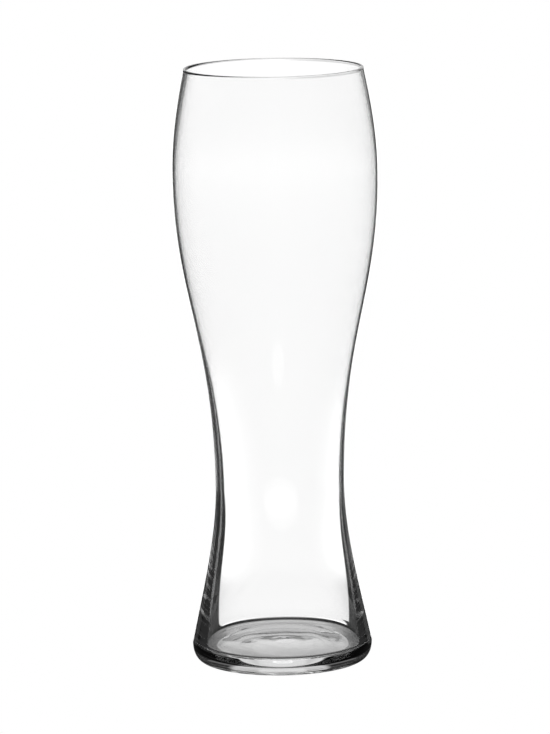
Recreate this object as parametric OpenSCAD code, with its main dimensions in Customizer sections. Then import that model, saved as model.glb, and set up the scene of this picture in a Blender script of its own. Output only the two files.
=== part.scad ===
// Tall wheat beer glass: a thin blown bowl with a low waist and a high bulge, on a solid round foot.
// Z is up, and the origin is on the table under the middle of the foot. All lengths are millimetres.
// The outside and the inside each run through a few stations, which are given as diameters, walls
// and heights. A smooth curve joins each pair of stations, upright at both ends unless it leans.

/* [Outside of the bowl] */
// Height of the rim above the table
glass_h = 240; // [225:1:260]
// Outside diameter at the rim
rim_d = 71.9; // [66:0.1:78]
// Outside diameter of the bulge, the widest place of the bowl
bulge_d = 82.1; // [76:0.1:88]
// Height of the bulge above the table
bulge_h = 197.2; // [180:0.1:205]
// Outside diameter of the waist, the narrowest place of the bowl
waist_d = 51.9; // [46:0.1:58]
// Height of the waist above the table
waist_h = 70.9; // [62:0.1:82]

/* [Wall] */
// Thickness of the wall at the rounded rim
rim_wall = 1.15; // [0.8:0.05:1.6]
// Thickness of the wall at the bulge
bulge_wall = 0.87; // [0.7:0.01:1.6]
// Thickness of the wall at the waist
waist_wall = 1.45; // [1.2:0.05:3]
// Thickness of the wall just above the floor
foot_wall = 4.75; // [4:0.05:6.5]
// How much lower the waist is on the inside than on the outside
inner_waist_drop = 2; // [0:0.1:12]

/* [Floor of the bowl] */
// Thickness of the bowl's floor at its edge
floor_t = 3.1; // [2.4:0.1:5]
// How much lower the floor is in the middle than at its edge
floor_sag = 0.1; // [0:0.05:0.8]
// How far the rounded corner between floor and wall reaches over the floor
corner_w = 2; // [1:0.1:4]
// How far that corner reaches up the wall
corner_h = 1.5; // [0.8:0.1:3]

/* [Foot] */
// Diameter of the foot at its widest
foot_d = 72.3; // [67:0.1:78]
// Height of the edge round the foot's widest place, where the bowl's wall begins
foot_widest_h = 7.6; // [6.5:0.1:9]
// Thickness of the foot under the bowl's floor
foot_t = 3.4; // [3:0.1:5]
// Width of the lip that the foot puts up round the bowl's bottom, as far as its widest place
lip_w = 6; // [4:0.1:8]
// Outer diameter of the flat ring that the glass stands on
stand_d = 61.9; // [58:0.1:66]
// Width of the standing ring
stand_w = 3.7; // [2:0.1:5]
// Depth of the hollow under the foot
punt_h = 1.75; // [0:0.05:2.4]

/* [Shape of the curves] */
// How far the wall leans in at the rim, as a share of its rise
rim_lean_share = 0.2; // [0:0.01:0.35]
// How far the wall leans in just above the foot, on the outside, as a share of its rise
foot_lean_share = 0.195; // [0:0.005:0.3]
// How far the wall leans in just above the floor, on the inside, as a share of its rise
floor_lean_share = 0.1; // [0:0.01:0.2]
// Reach of the rim's lean, as a share of the height between bulge and rim
rim_reach_share = 0.23; // [0.1:0.01:0.4]
// Reach of the bulge upwards, on the outside and on the inside, as shares of that height
bulge_up_shares = [0.414, 0.389]; // [0.2:0.001:0.6]
// Reach of the bulge downwards, outside and inside, as shares of the height between waist and bulge
bulge_down_shares = [0.385, 0.376]; // [0.2:0.001:0.6]
// Reach of the waist upwards, outside and inside, as shares of that height
waist_up_shares = [0.492, 0.473]; // [0.2:0.001:0.6]
// Reach of the waist downwards, outside and inside, as shares of the height below it
waist_down_shares = [0.335, 0.35]; // [0.1:0.001:0.5]
// Reach of the foot upwards, outside and inside, as shares of that height
foot_up_shares = [0.27, 0.45]; // [0.05:0.001:0.5]
// Reach of the heel's curve down from the foot's widest place, as a share of the height there
heel_down_share = 0.79; // [0.2:0.01:0.9]
// Reach of the heel's curve out from the standing ring, as a share of the heel's width
heel_out_share = 0.41; // [0.3:0.01:0.8]
// Roundness of the corner between floor and wall, as a share of its width and of its height
corner_share = 0.55; // [0.3:0.01:0.7]
// Reach of the floor's level middle and of its level edge, as shares of the floor's radius
floor_shares = [0.4, 0.25]; // [0.1:0.01:0.5]
// Reach of the punt's level edge and of its level middle, as shares of the punt's radius
punt_shares = [0.11, 0.45]; // [0.05:0.01:0.5]

/* [Hidden] */
$fn = 180;

// Clear glass, with hardly any tint
glass_colour = [0.9, 0.93, 0.94, 0.45];
// Steps of one curve, and of the rounded rim
curve_steps = 24;
rim_steps = 12;
// How far a cutting zone runs past the glass
overrun = 2;

OUTSIDE = 0;
INSIDE = 1;

rim_r = rim_d / 2;
bulge_r = bulge_d / 2;
waist_r = waist_d / 2;
foot_r = foot_d / 2;
stand_r = stand_d / 2;
punt_r = stand_r - stand_w;
floor_h = foot_t + floor_t;
// The walls end where the rounded rim begins
wall_top_h = glass_h - rim_wall / 2;
// The inner wall starts at the top of the rounded corner, already leaning
inner_low = [foot_r - foot_wall, floor_h + corner_h];
floor_r = inner_low.x - corner_w;
seat_r = foot_r - lip_w;

// Point on a cubic curve between two ends, each with a handle that it leaves or arrives along
function curve_point(a, a_handle, b_handle, b, t) =
    pow(1 - t, 3) * a + 3 * t * pow(1 - t, 2) * a_handle + 3 * t * t * (1 - t) * b_handle + pow(t, 3) * b;

// Points of that curve after its first end, which the stretch before it already has
function curve(a, a_handle, b_handle, b) =
    [for (i = [1:curve_steps]) curve_point(a, a_handle, b_handle, b, i / curve_steps)];

// Wall from its lowest station to the rim, on one side of the glass.
// low_lean is how far it leans in at the bottom, as a share of its rise.
function wall(side, low, low_lean, waist, bulge, top) =
    let (below = waist.y - low.y, middle = bulge.y - waist.y, above = top.y - bulge.y)
    let (foot_up = foot_up_shares[side] * below, rim_reach = rim_reach_share * above)
    concat(
        [low],
        curve(low, low + [-low_lean * foot_up, foot_up],
              waist - [0, waist_down_shares[side] * below], waist),
        curve(waist, waist + [0, waist_up_shares[side] * middle],
              bulge - [0, bulge_down_shares[side] * middle], bulge),
        curve(bulge, bulge + [0, bulge_up_shares[side] * above],
              top + [rim_lean_share * rim_reach, -rim_reach], top)
    );

function reversed(points) = [for (i = [len(points) - 1:-1:0]) points[i]];

// Outside, from the foot's widest place up to the rim
outer_wall = wall(OUTSIDE, [foot_r, foot_widest_h], foot_lean_share, [waist_r, waist_h],
                  [bulge_r, bulge_h], [rim_r, wall_top_h]);

// Inside, from the corner of the floor up to the rim
inner_wall = wall(INSIDE, inner_low, floor_lean_share,
                  [waist_r - waist_wall, waist_h - inner_waist_drop],
                  [bulge_r - bulge_wall, bulge_h], [rim_r - rim_wall, wall_top_h]);

// Half circle over the rim, from the inner wall to the outer wall
rim_round = [for (i = [1:rim_steps - 1]) let (turn = 180 * (1 - i / rim_steps))
    [rim_r - rim_wall / 2, wall_top_h] + rim_wall / 2 * [cos(turn), sin(turn)]];

// Heel, from the foot's widest place down to the standing ring
heel = curve([foot_r, foot_widest_h], [foot_r, foot_widest_h * (1 - heel_down_share)],
             [stand_r + heel_out_share * (foot_r - stand_r), 0], [stand_r, 0]);

// Hollow under the foot, from the standing ring to the middle
punt = curve([punt_r, 0], [punt_r * (1 - punt_shares[0]), 0],
             [punt_r * punt_shares[1], punt_h], [0, punt_h]);

// Floor of the bowl from the middle to its edge, and the rounded corner up to the wall
floor_middle = [0, floor_h - floor_sag];
floor_edge = [floor_r, floor_h];
bowl_floor = curve(floor_middle, floor_middle + [floor_shares[0] * floor_r, 0],
                   floor_edge - [floor_shares[1] * floor_r, 0], floor_edge);
corner = curve(floor_edge, floor_edge + [corner_share * corner_w, 0],
               inner_low + corner_share * corner_h * [floor_lean_share, -1], inner_low);

// Half section of the whole glass, which is spun round the Z axis
module glass_section() {
    polygon(concat([floor_middle], bowl_floor, corner, inner_wall, rim_round, reversed(outer_wall),
                   heel, [[punt_r, 0]], punt));
}

// Half section of the room that the foot takes: level under the bowl, rising in a lip at the edge
module foot_zone() {
    lip_end = [seat_r, foot_t] + 2 * [lip_w, foot_widest_h - foot_t];
    polygon([[0, -overrun], [lip_end.x, -overrun], lip_end, [seat_r, foot_t], [0, foot_t]]);
}

// Blown vessel with its own closed floor, whose wall thins from the foot to the bulge
module bowl() {
    color(glass_colour)
        rotate_extrude()
            difference() {
                glass_section();
                foot_zone();
            }
}

// Solid foot that the bowl sits in, with a rounded heel, a standing ring and a shallow punt
module foot() {
    color(glass_colour)
        rotate_extrude()
            intersection() {
                glass_section();
                foot_zone();
            }
}

bowl();
foot();
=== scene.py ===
"""A tall clear wheat beer glass against a lit backdrop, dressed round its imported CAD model."""
import math

import bmesh
import bpy
from mathutils import Matrix, Vector
from mathutils.geometry import interpolate_bezier


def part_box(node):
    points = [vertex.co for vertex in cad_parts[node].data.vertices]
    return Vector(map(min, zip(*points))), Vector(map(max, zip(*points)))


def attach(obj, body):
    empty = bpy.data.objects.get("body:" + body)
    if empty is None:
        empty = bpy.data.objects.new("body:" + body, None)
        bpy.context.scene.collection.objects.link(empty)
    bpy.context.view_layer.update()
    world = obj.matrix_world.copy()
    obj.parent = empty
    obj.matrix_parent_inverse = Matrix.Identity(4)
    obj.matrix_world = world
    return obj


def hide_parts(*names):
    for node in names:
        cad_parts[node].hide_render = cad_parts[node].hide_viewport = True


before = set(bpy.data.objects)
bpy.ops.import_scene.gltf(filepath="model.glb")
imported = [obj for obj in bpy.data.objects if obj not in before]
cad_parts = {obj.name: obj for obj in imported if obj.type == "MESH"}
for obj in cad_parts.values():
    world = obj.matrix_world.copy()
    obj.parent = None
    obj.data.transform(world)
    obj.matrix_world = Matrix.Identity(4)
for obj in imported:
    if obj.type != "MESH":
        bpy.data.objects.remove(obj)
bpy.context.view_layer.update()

# The glass
# The bowl is blown thin, and its wall thickens from the bulge down to the foot. The foot is a solid disc of
# the same clear glass with a rounded heel, a flat standing ring and a shallow hollow underneath. The two are
# one mass of glass, so light meets no surface between them: they are spun here as one closed body.
MM = 0.001
glass_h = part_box("bowl")[1].z
bulge_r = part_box("bowl")[1].x
foot_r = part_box("foot")[1].x
curve_steps = 40
fine_steps = 12
spin_steps = 240
level, upright = Vector((1, 0, 0)), Vector((0, 0, 1))


def at(r, z):
    """A point of the half outline: its distance from the axis and its height."""
    return Vector((r, 0, z))


def curve(outline, leave, arrive, end, steps):
    """Carries the outline on from its last point to end, along the handles that it leaves and arrives by."""
    points = interpolate_bezier(outline[-1], outline[-1] + leave, end + arrive, end, steps + 1)
    outline.extend(points[1:])


# Stations of the outside
rim_r = 35.95 * MM
bulge_h = 197.2 * MM
waist_r, waist_h = 25.95 * MM, 70.9 * MM
widest_h = 7.6 * MM
stand_r = 30.95 * MM
punt_r, punt_h = 27.2 * MM, 2.25 * MM

# Walls, floor and corner of the inside
rim_wall, bulge_wall, waist_wall = 1.15 * MM, 0.87 * MM, 1.45 * MM
inner_waist_h = 68.9 * MM
floor_h = 6.5 * MM
corner_w, corner_h = 2.0 * MM, 1.5 * MM
foot_wall = 4.75 * MM
inner_low_r = foot_r - foot_wall
floor_r = inner_low_r - corner_w
dimple_r, dimple_depth = 4.5 * MM, 0.22 * MM
step_in_r, step_out_r, step_depth = 17.5 * MM, 20.5 * MM, 0.1 * MM

# Lean of the wall at the rim, just above the floor and just above the foot, as a share of its rise
rim_lean = 0.2 * level
floor_lean = 0.1 * level
foot_lean = 0.195 * level

# Reach of each curve, outside and inside, as a share of the height that it spans
bulge_up_out, bulge_up_in = 0.414, 0.389
bulge_down_out, bulge_down_in = 0.385, 0.376
waist_up_out, waist_up_in = 0.492, 0.473
waist_down_out, waist_down_in = 0.335, 0.35
foot_up_out, foot_up_in = 0.27, 0.45
rim_reach_share = 0.23

# Reach of the heel's, the punt's and the floor corner's curves, as shares of their heights and widths
heel_down_share, heel_out_share = 0.79, 0.41
punt_edge_share, punt_middle_share = 0.11, 0.45
corner_share = 0.55

wall_top = glass_h - rim_wall / 2
above = wall_top - bulge_h
rim_reach = rim_reach_share * above
inside_middle = bulge_h - inner_waist_h
inside_below = inner_waist_h - floor_h - corner_h
outside_middle = bulge_h - waist_h
outside_below = waist_h - widest_h

# Floor, from a small dimple in its middle over a faint ring to the rounded corner
middle_h = floor_h - step_depth
step_reach = (step_out_r - step_in_r) / 2
outline = [at(0, middle_h - dimple_depth)]
curve(outline, dimple_r / 2 * level, -dimple_r / 2 * level, at(dimple_r, middle_h), fine_steps)
curve(outline, dimple_r / 2 * level, -step_reach * level, at(step_in_r, middle_h), fine_steps)
curve(outline, step_reach * level, -step_reach * level, at(step_out_r, floor_h), fine_steps)
curve(outline, step_reach * level, -corner_w * level, at(floor_r, floor_h), fine_steps)
inner_low = at(inner_low_r, floor_h + corner_h)
curve(outline, corner_share * corner_w * level, corner_share * corner_h * (floor_lean - upright),
      inner_low, fine_steps)

# Inside wall: up to the waist, out to the bulge and in to the rim
inner_waist = at(waist_r - waist_wall, inner_waist_h)
inner_bulge = at(bulge_r - bulge_wall, bulge_h)
inner_top = at(rim_r - rim_wall, wall_top)
curve(outline, foot_up_in * inside_below * (upright - floor_lean), -waist_down_in * inside_below * upright,
      inner_waist, curve_steps)
curve(outline, waist_up_in * inside_middle * upright, -bulge_down_in * inside_middle * upright,
      inner_bulge, curve_steps)
curve(outline, bulge_up_in * above * upright, rim_reach * (rim_lean - upright), inner_top, curve_steps)
inside_count = len(outline)

# Rounded rim, over the top in two quarter turns, each with the handle that comes nearest a circle
circle_share = 0.5523
quarter = circle_share * rim_wall / 2
curve(outline, quarter * upright, -quarter * level, at(rim_r - rim_wall / 2, glass_h), fine_steps)
curve(outline, quarter * level, quarter * upright, at(rim_r, wall_top), fine_steps)

# Outside wall: out to the bulge, in to the waist and out to the foot
curve(outline, rim_reach * (rim_lean - upright), bulge_up_out * above * upright, at(bulge_r, bulge_h),
      curve_steps)
curve(outline, -bulge_down_out * outside_middle * upright, waist_up_out * outside_middle * upright,
      at(waist_r, waist_h), curve_steps)
curve(outline, -waist_down_out * outside_below * upright, foot_up_out * outside_below * (upright - foot_lean),
      at(foot_r, widest_h), curve_steps)

# Rounded heel, flat standing ring and the hollow under the foot
heel_w = foot_r - stand_r
curve(outline, -heel_down_share * widest_h * upright, heel_out_share * heel_w * level,
      at(stand_r, 0), curve_steps)
outline.append(at(punt_r, 0))
curve(outline, -punt_edge_share * punt_r * level, punt_middle_share * punt_r * level,
      at(0, punt_h), curve_steps)

body = bmesh.new()
inside_mark = body.verts.layers.int.new("inside")
points = [body.verts.new(point) for point in outline]
for point in points[:inside_count]:
    point[inside_mark] = 1
edges = [body.edges.new(pair) for pair in zip(points, points[1:])]
bmesh.ops.spin(body, geom=points + edges, cent=(0, 0, 0), axis=(0, 0, 1), angle=2 * math.pi,
               steps=spin_steps, use_merge=True)
bmesh.ops.remove_doubles(body, verts=body.verts, dist=1e-7)
bmesh.ops.recalc_face_normals(body, faces=body.faces)
for face in body.faces:
    face.smooth = True

# The floor has shallow uneven rings up to the rounded corner. Each swirl bends them: by how much, how many
# times round the floor, and from where.
ring_length, ring_depth = 13 * MM, 0.3 * MM
ring_fade = 3 * MM
swirls = [(1.6, 2, 0.6), (1.2, 3, 2)]
for point in body.verts:
    r = math.hypot(point.co.x, point.co.y)
    if not point[inside_mark] or r > floor_r:
        continue
    if point.co.z > floor_h + corner_h / 2:
        continue
    turn = math.atan2(point.co.y, point.co.x)
    swirl = sum(bend * math.sin(times * turn + start) for bend, times, start in swirls)
    phase = 2 * math.pi * r / ring_length + swirl * r / floor_r
    fade = min(1, (floor_r - r) / ring_fade)
    point.co.z -= ring_depth * fade * (1 - math.cos(phase)) / 2

# A blown wall is never quite even: the inside lies a little to one side, most of all below the waist.
# Each pair is a height and how far to the side the inside lies there, in millimetres.
uneven = [(0, 0.25), (55, 0.28), (80, 0.2), (110, 0.15), (135, 0.05), (240, 0.1)]
for point in body.verts:
    if not point[inside_mark]:
        continue
    for (low_z, low_shift), (high_z, high_shift) in zip(uneven, uneven[1:]):
        rise = (point.co.z / MM - low_z) / (high_z - low_z)
        if 0 <= rise <= 1:
            ease = rise * rise * (3 - 2 * rise)
            point.co.x += (low_shift + (high_shift - low_shift) * ease) * MM
            break

glass_mesh = bpy.data.meshes.new("glass")
body.to_mesh(glass_mesh)
body.free()
glass = bpy.data.objects.new("glass", glass_mesh)
bpy.context.scene.collection.objects.link(glass)

clear_glass = bpy.data.materials.new("clear_glass")
clear_glass.use_nodes = True
shader = clear_glass.node_tree.nodes["Principled BSDF"]
shader.inputs["Base Color"].default_value = (1, 1, 1, 1)
shader.inputs["Transmission Weight"].default_value = 1.0
shader.inputs["IOR"].default_value = 1.52

# Fire-polished all over, with smears so faint that they hardly soften the light
smear_length = 18 * MM
smear_roughness = 0.003
glass_tree = clear_glass.node_tree
glass_place = glass_tree.nodes.new("ShaderNodeTexCoord")
smears = glass_tree.nodes.new("ShaderNodeTexNoise")
smears.inputs["Scale"].default_value = 1 / smear_length
smears.inputs["Detail"].default_value = 4.0
glass_tree.links.new(glass_place.outputs["Object"], smears.inputs["Vector"])
polish = glass_tree.nodes.new("ShaderNodeMapRange")
polish.inputs["From Min"].default_value = 0.4
polish.inputs["From Max"].default_value = 0.75
polish.inputs["To Min"].default_value = 0.0
polish.inputs["To Max"].default_value = smear_roughness
glass_tree.links.new(smears.outputs[0], polish.inputs["Value"])
glass_tree.links.new(polish.outputs[0], shader.inputs["Roughness"])

# How far out and how high a point of the glass lies
glass_parts = glass_tree.nodes.new("ShaderNodeSeparateXYZ")
glass_tree.links.new(glass_place.outputs["Object"], glass_parts.inputs[0])
flat_r = glass_tree.nodes.new("ShaderNodeVectorMath")
flat_r.operation = "MULTIPLY"
flat_r.inputs[1].default_value = (1, 1, 0)
glass_tree.links.new(glass_place.outputs["Object"], flat_r.inputs[0])
out_r = glass_tree.nodes.new("ShaderNodeVectorMath")
out_r.operation = "LENGTH"
glass_tree.links.new(flat_r.outputs[0], out_r.inputs[0])

# The floor also has a fine ripple, which fades out before the wall, a little below the floor and above it
wave_length = 7 * MM
wave_depth = 0.05 * MM
wave_margin, wave_below, wave_above = 3 * MM, 1 * MM, 2 * MM
waves = glass_tree.nodes.new("ShaderNodeTexNoise")
waves.inputs["Scale"].default_value = 1 / wave_length
waves.inputs["Detail"].default_value = 1.0
glass_tree.links.new(glass_place.outputs["Object"], waves.inputs["Vector"])
on_floor = glass_tree.nodes.new("ShaderNodeMapRange")
on_floor.inputs["From Min"].default_value = floor_h - wave_below
on_floor.inputs["From Max"].default_value = floor_h - wave_below / 2
glass_tree.links.new(glass_parts.outputs["Z"], on_floor.inputs["Value"])
off_wall = glass_tree.nodes.new("ShaderNodeMapRange")
off_wall.inputs["From Min"].default_value = floor_r
off_wall.inputs["From Max"].default_value = floor_r - wave_margin
glass_tree.links.new(out_r.outputs["Value"], off_wall.inputs["Value"])
under_waist = glass_tree.nodes.new("ShaderNodeMapRange")
under_waist.inputs["From Min"].default_value = floor_h + wave_above
under_waist.inputs["From Max"].default_value = floor_h + wave_above / 2
glass_tree.links.new(glass_parts.outputs["Z"], under_waist.inputs["Value"])
wave_h = waves.outputs[0]
for mask in (on_floor, off_wall, under_waist):
    masked = glass_tree.nodes.new("ShaderNodeMath")
    masked.operation = "MULTIPLY"
    glass_tree.links.new(wave_h, masked.inputs[0])
    glass_tree.links.new(mask.outputs[0], masked.inputs[1])
    wave_h = masked.outputs[0]
bump = glass_tree.nodes.new("ShaderNodeBump")
bump.inputs["Strength"].default_value = 1.0
bump.inputs["Distance"].default_value = wave_depth
glass_tree.links.new(wave_h, bump.inputs["Height"])
glass_tree.links.new(bump.outputs[0], shader.inputs["Normal"])

# Thick glass takes a little of the light. The density is per metre.
dim_density = 3.0
dim = glass_tree.nodes.new("ShaderNodeVolumeAbsorption")
dim.inputs["Color"].default_value = (0, 0, 0, 1)
dim.inputs["Density"].default_value = dim_density
glass_tree.links.new(dim.outputs[0], glass_tree.nodes["Material Output"].inputs["Volume"])
glass_mesh.materials.append(clear_glass)

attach(glass, "root")
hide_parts("bowl", "foot")

# The floor
# A plain white paper sheet that the glass stands on. It shows to the camera alone: the light that the glass
# bends comes from the cards and discs further down.
floor_size = 60
sheet = bmesh.new()
bmesh.ops.create_grid(sheet, x_segments=1, y_segments=1, size=floor_size / 2)
floor_mesh = bpy.data.meshes.new("floor")
sheet.to_mesh(floor_mesh)
sheet.free()
floor = bpy.data.objects.new("floor", floor_mesh)
bpy.context.scene.collection.objects.link(floor)
white_sheet = bpy.data.materials.new("white_sheet")
white_sheet.use_nodes = True
sheet_shader = white_sheet.node_tree.nodes["Principled BSDF"]
sheet_shader.inputs["Base Color"].default_value = (0, 0, 0, 1)
sheet_shader.inputs["Specular IOR Level"].default_value = 0
sheet_shader.inputs["Emission Color"].default_value = (1, 1, 1, 1)
sheet_shader.inputs["Emission Strength"].default_value = 1.0
floor_mesh.materials.append(white_sheet)
for ray in ("diffuse", "glossy", "transmission", "volume_scatter", "shadow"):
    setattr(floor, "visible_" + ray, False)

# The camera
# It stands about two metres in front of the glass and higher than the rim, and looks down on it. Its place,
# turn and lens were fitted to the outline of the glass.
focal_px = 5015.2
image_h_px = 734
sensor = 36
camera_place = Vector((-1.23, -1982.2, 450.4)) * MM
camera_down, camera_roll = math.radians(9.48), math.radians(0.922)
lens = bpy.data.cameras.new("camera")
lens.sensor_width = sensor
lens.lens = focal_px * sensor / image_h_px
lens.clip_end = 200
camera = bpy.data.objects.new("camera", lens)
camera.matrix_world = (Matrix.Translation(camera_place)
                       @ Matrix.Rotation(math.pi / 2 - camera_down, 4, "X")
                       @ Matrix.Rotation(-camera_roll, 4, "Z"))
bpy.context.scene.collection.objects.link(camera)
bpy.context.scene.camera = camera

# The light
# A lit backdrop far behind the glass, in a dim room, so that the glass shows white in the middle and dark
# at its edges. Its cards stand on one arm with the camera, as when a glass is turned on a turntable.
camera_far = camera_place.length


def light_card(name, far, across, up, strength, soft):
    """A glowing card on the camera's arm, which the camera doesn't see.

    Its edges across and up are degrees as seen from the glass, from the line of sight. It fades to nothing
    at each edge, over the degrees in soft: left, right, low and high.
    """
    x0, x1, y0, y1 = (far * math.tan(math.radians(a)) for a in across + up)
    card = bmesh.new()
    bmesh.ops.create_grid(card, x_segments=1, y_segments=1, size=0.5)
    bmesh.ops.scale(card, verts=card.verts, vec=(x1 - x0, y1 - y0, 1))
    bmesh.ops.translate(card, verts=card.verts, vec=((x0 + x1) / 2, (y0 + y1) / 2, -camera_far - far))
    mesh = bpy.data.meshes.new(name)
    card.to_mesh(mesh)
    card.free()
    piece = bpy.data.objects.new(name, mesh)
    bpy.context.scene.collection.objects.link(piece)
    piece.parent = camera
    piece.visible_camera = False
    piece.visible_shadow = False
    material = bpy.data.materials.new(name)
    material.use_nodes = True
    tree = material.node_tree
    tree.nodes.clear()
    out = tree.nodes.new("ShaderNodeOutputMaterial")
    both = tree.nodes.new("ShaderNodeAddShader")
    tree.links.new(both.outputs[0], out.inputs["Surface"])
    clear = tree.nodes.new("ShaderNodeBsdfTransparent")
    tree.links.new(clear.outputs[0], both.inputs[0])
    glow = tree.nodes.new("ShaderNodeEmission")
    tree.links.new(glow.outputs[0], both.inputs[1])
    place = tree.nodes.new("ShaderNodeTexCoord")
    parts = tree.nodes.new("ShaderNodeSeparateXYZ")
    tree.links.new(place.outputs["Object"], parts.inputs[0])
    fade = [far * math.tan(math.radians(a)) for a in soft]
    shaded = None
    for axis, edge, inward in ((0, x0, fade[0]), (0, x1, -fade[1]), (1, y0, fade[2]), (1, y1, -fade[3])):
        ramp = tree.nodes.new("ShaderNodeMapRange")
        ramp.interpolation_type = "SMOOTHSTEP"
        ramp.inputs["From Min"].default_value = edge
        ramp.inputs["From Max"].default_value = edge + inward
        ramp.inputs["To Max"].default_value = strength if shaded is None else 1.0
        tree.links.new(parts.outputs[axis], ramp.inputs["Value"])
        if shaded is None:
            shaded = ramp.outputs[0]
            continue
        product = tree.nodes.new("ShaderNodeMath")
        product.operation = "MULTIPLY"
        tree.links.new(shaded, product.inputs[0])
        tree.links.new(ramp.outputs[0], product.inputs[1])
        shaded = product.outputs[0]
    tree.links.new(shaded, glow.inputs["Strength"])
    mesh.materials.append(material)


backdrop_across = (-11.6, 11.6)
light_card("backdrop", far=20, across=backdrop_across, up=(-12, 11), strength=0.73, soft=(1, 1, 1.5, 4))
light_card("backdrop_middle", far=20.25, across=backdrop_across, up=(-12, 7.5), strength=0.32,
           soft=(1, 1, 1.5, 5))
light_card("backdrop_left", far=19.5, across=(-11.6, -1), up=(-7.5, 9), strength=0.52, soft=(1, 7.5, 4, 5))
light_card("backdrop_right", far=19, across=(1, 11.6), up=(-7.5, 9), strength=0.74, soft=(7.5, 1, 4, 5))
light_card("backdrop_lift", far=19.25, across=backdrop_across, up=(-7, 12), strength=0.06, soft=(1, 1, 3, 3))
light_card("backdrop_top", far=18.5, across=backdrop_across, up=(1.2, 9), strength=0.05, soft=(1, 1, 1.8, 4))
light_card("above_backdrop", far=20.5, across=(-26, 30), up=(7, 62), strength=0.7, soft=(6, 8, 4, 12))
light_card("high_sides", far=21.75, across=(-52, 52), up=(22, 44), strength=0.16, soft=(8, 8, 6, 6))
light_card("above_middle", far=20.75, across=(-13, 13), up=(12, 25), strength=0.24, soft=(4, 4, 4, 4))
light_card("table_glow", far=21, across=(-10, 10), up=(-62, -10.5), strength=0.42, soft=(3, 3, 8, 1.5))
light_card("table_behind", far=21.25, across=(-12, 12), up=(-62, -12.5), strength=0.36, soft=(4, 4, 8, 3))
light_card("left_strip", far=21.5, across=(-38, -19), up=(-3, 14), strength=0.08, soft=(4, 4, 2, 4))
light_card("right_strip", far=22, across=(19, 38), up=(-3, 14), strength=0.14, soft=(4, 4, 2, 4))


def glow_disc(name, radius, forward, height, near, far, shares=(-1, 1)):
    """A level glowing disc over or under the glass, forward of its axis, which the camera doesn't see.

    Its strength runs from near, on the side towards the camera, to far, between two shares of the radius.
    """
    disc = bmesh.new()
    bmesh.ops.create_circle(disc, cap_ends=True, radius=radius, segments=64)
    bmesh.ops.translate(disc, verts=disc.verts, vec=(0, -forward, height))
    mesh = bpy.data.meshes.new(name)
    disc.to_mesh(mesh)
    disc.free()
    piece = bpy.data.objects.new(name, mesh)
    bpy.context.scene.collection.objects.link(piece)
    piece.visible_camera = False
    piece.visible_shadow = False
    material = bpy.data.materials.new(name)
    material.use_nodes = True
    tree = material.node_tree
    tree.nodes.clear()
    out = tree.nodes.new("ShaderNodeOutputMaterial")
    glow = tree.nodes.new("ShaderNodeEmission")
    tree.links.new(glow.outputs[0], out.inputs["Surface"])
    place = tree.nodes.new("ShaderNodeTexCoord")
    parts = tree.nodes.new("ShaderNodeSeparateXYZ")
    tree.links.new(place.outputs["Object"], parts.inputs[0])
    ramp = tree.nodes.new("ShaderNodeMapRange")
    ramp.inputs["From Min"].default_value = -forward + shares[0] * radius
    ramp.inputs["From Max"].default_value = -forward + shares[1] * radius
    ramp.inputs["To Min"].default_value = near
    ramp.inputs["To Max"].default_value = far
    tree.links.new(parts.outputs["Y"], ramp.inputs["Value"])
    tree.links.new(ramp.outputs[0], glow.inputs["Strength"])
    mesh.materials.append(material)
    return piece


# The table under the foot and in front of it, in discs that lie a little below each other, and the ceiling.
# The discs under and round the foot hold painted shadow and a painted pool of light. They are dim on the side
# towards the camera, dark under the standing ring and round the heel, and bright further back.
# The disc in front stands on the camera's arm too.
table_h = -0.05 * MM
# Painted shade and light: dim towards the camera, where the foot shades the table, bright at the back
glow_disc("table_under_punt", radius=27 * MM, forward=0, height=0, near=0.24, far=1.0)
# Painted shadow: dark under the standing ring, where it touches the table, lighter only at the back
glow_disc("table_under_ring", radius=31 * MM, forward=0, height=table_h, near=0.07, far=0.6,
          shares=(0.3, 0.9))
# Painted shadow: dark round the heel, lighter only at the back
glow_disc("table_under_heel", radius=38 * MM, forward=0, height=2 * table_h, near=0.06, far=0.45,
          shares=(0.3, 0.9))
in_front = glow_disc("table_in_front", radius=90 * MM, forward=150 * MM, height=table_h, near=0.9, far=0.9)
in_front.parent = camera
in_front.matrix_parent_inverse = camera.matrix_world.inverted()
# Painted shadow: dark round the foot, bright only towards its back edge
glow_disc("table_round_foot", radius=57 * MM, forward=0, height=3 * table_h, near=0.03, far=0.7,
          shares=(0.78, 0.95))
glow_disc("ceiling", radius=16, forward=-8, height=20, near=0.6, far=0.6)

# The room is dark to the glass, and plain white to the camera
room_grey = 0.025
room = bpy.data.worlds.new("room")
bpy.context.scene.world = room
room.use_nodes = True
room_tree = room.node_tree
sky = room_tree.nodes["Background"]
ray_kind = room_tree.nodes.new("ShaderNodeLightPath")
shade = room_tree.nodes.new("ShaderNodeMix")
shade.data_type = "RGBA"
shade.inputs[6].default_value = (room_grey, room_grey, room_grey, 1)
shade.inputs[7].default_value = (1, 1, 1, 1)
room_tree.links.new(ray_kind.outputs["Is Camera Ray"], shade.inputs[0])
room_tree.links.new(shade.outputs[2], sky.inputs["Color"])

# How the picture is developed, and how often light may bounce in the glass
bounces = 20
scene = bpy.context.scene
scene.view_settings.view_transform = "Standard"
scene.cycles.use_denoising = True
scene.cycles.max_bounces = bounces
scene.cycles.transmission_bounces = bounces
scene.cycles.glossy_bounces = bounces
scene.cycles.caustics_reflective = True
scene.cycles.caustics_refractive = True
